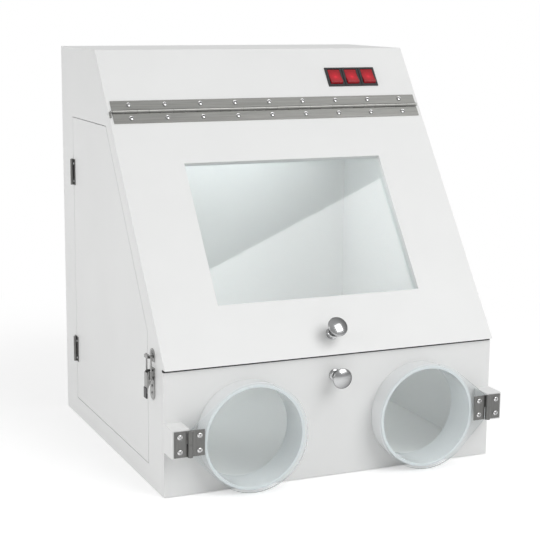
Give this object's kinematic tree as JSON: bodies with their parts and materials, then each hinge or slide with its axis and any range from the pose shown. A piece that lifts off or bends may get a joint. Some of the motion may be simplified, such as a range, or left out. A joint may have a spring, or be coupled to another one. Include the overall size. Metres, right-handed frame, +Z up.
{
  "type": "uv cabinet",
  "caption": "White bench cabinet with a sloped window door, round arm ports with clear hinged covers, a side door and a germicidal lamp inside.",
  "frame": {"origin": "centre of the carcass's footprint, on the bench", "axes": "+Z up, front faces -Y, +X to the right of a person who faces the front"},
  "size_m": [0.491, 0.498, 0.558],
  "materials": {
    "white_sheet": "satin white sheet",
    "white_pipe": "glossy white pipe",
    "clear_sheet": "clear sheet with a light cyan tint",
    "brushed_steel": "brushed",
    "hinge_steel": "dull dark grey steel",
    "chrome": "polished",
    "black_rubber": "matte",
    "black_plastic": "fine satin",
    "red_cap": "translucent red, lit from inside",
    "lamp_glass": "tube glass",
    "white_plastic": "moulded",
    "aluminium": "bright",
    "ballast_metal": "painted"
  },
  "bodies": {
    "root": {"base_panel": "white_sheet", "back_panel": "white_sheet", "left_side_panel": "white_sheet", "right_side_panel": "white_sheet", "top_panel": "white_sheet", "switch_fascia": "white_sheet", "chamber_ceiling": "white_sheet", "side_door_stop": "white_sheet", "piano_upper_leaf": "brushed_steel", "piano_upper_screws": "chrome", "side_frame_leaves": "hinge_steel", "side_frame_screws": "chrome", "side_hinge_pins": "hinge_steel", "latch_base": "brushed_steel", "latch_strike": "brushed_steel", "latch_screws": "chrome", "latch_pivot": "chrome", "switch_housings": "black_plastic", "uv_lamp": "lamp_glass", "white_lamp": "lamp_glass", "lampholders": "white_plastic", "ballast": "ballast_metal", "power_inlet": "black_plastic", "lamp_reflector": "aluminium"},
    "window_door": {"window_door": "white_sheet", "window_pane": "clear_sheet", "glazing_frame": "white_sheet", "piano_lower_leaf": "brushed_steel", "piano_pin": "brushed_steel", "piano_lower_screws": "chrome", "door_knob": "chrome", "door_knob_screw": "chrome"},
    "side_door": {"side_door": "white_sheet", "side_door_leaves": "hinge_steel", "side_door_screws": "chrome"},
    "front_panel": {"lower_front_panel": "white_sheet", "panel_cleats": "white_sheet", "lip_seal": "black_rubber", "left_port_tube": "white_pipe", "right_port_tube": "white_pipe", "left_hinge_block": "white_sheet", "right_hinge_block": "white_sheet", "left_block_leaf": "hinge_steel", "right_block_leaf": "hinge_steel", "cover_pins": "hinge_steel", "block_leaf_screws": "chrome", "panel_knob": "chrome", "panel_knob_screw": "chrome"},
    "left_cover": {"left_port_cover": "clear_sheet", "left_cover_leaf": "hinge_steel", "left_cover_screws": "chrome"},
    "right_cover": {"right_port_cover": "clear_sheet", "right_cover_leaf": "hinge_steel", "right_cover_screws": "chrome"},
    "rocker_1": {"rocker_1": "red_cap"},
    "rocker_2": {"rocker_2": "red_cap"},
    "rocker_3": {"rocker_3": "red_cap"},
    "latch_lever": {"latch_lever": "brushed_steel", "latch_lever_tip": "black_plastic"},
    "latch_bail": {"latch_bail": "chrome"}
  },
  "joints": [
    {"name": "window_door_hinge", "type": "hinge", "parent": "root", "child": "window_door", "pos_m": [0, -0.01043, 0.4773], "axis": [-1, 0, 0], "range_deg": [0, 165]},
    {"name": "side_door_hinge", "type": "hinge", "parent": "root", "child": "side_door", "pos_m": [-0.2425, 0.1705, 0.24], "axis": [0, 0, -1], "range_deg": [0, 150]},
    {"name": "front_panel_slide", "type": "slide", "parent": "root", "child": "front_panel", "axis": [0, -1, 0], "range_m": [0, 0.08]},
    {"name": "left_cover_hinge", "type": "hinge", "parent": "front_panel", "child": "left_cover", "pos_m": [-0.21751, -0.264, 0.0805], "axis": [0, 0, -1], "range_deg": [0, 160]},
    {"name": "right_cover_hinge", "type": "hinge", "parent": "front_panel", "child": "right_cover", "pos_m": [0.21751, -0.264, 0.0805], "axis": [0, 0, 1], "range_deg": [0, 160]},
    {"name": "rocker_1_pivot", "type": "hinge", "parent": "root", "child": "rocker_1", "pos_m": [0.11545, 0.02355, 0.51593], "axis": [1, 0, 0], "range_deg": [0, 16]},
    {"name": "rocker_2_pivot", "type": "hinge", "parent": "root", "child": "rocker_2", "pos_m": [0.14235, 0.02355, 0.51593], "axis": [1, 0, 0], "range_deg": [0, 16]},
    {"name": "rocker_3_pivot", "type": "hinge", "parent": "root", "child": "rocker_3", "pos_m": [0.16925, 0.02355, 0.51593], "axis": [1, 0, 0], "range_deg": [0, 16]},
    {"name": "latch_lever_hinge", "type": "hinge", "parent": "root", "child": "latch_lever", "pos_m": [-0.2455, -0.187, 0.1565], "axis": [0, 1, 0], "range_deg": [0, 90]},
    {"name": "latch_bail_hinge", "type": "hinge", "parent": "latch_lever", "child": "latch_bail", "pos_m": [-0.2455, -0.187, 0.1495], "axis": [0, 1, 0], "range_deg": [-75, 0]}
  ],
  "couplings": [
    {"joint": "latch_bail_hinge", "follows": "latch_lever_hinge", "ratio": -0.83}
  ]
}
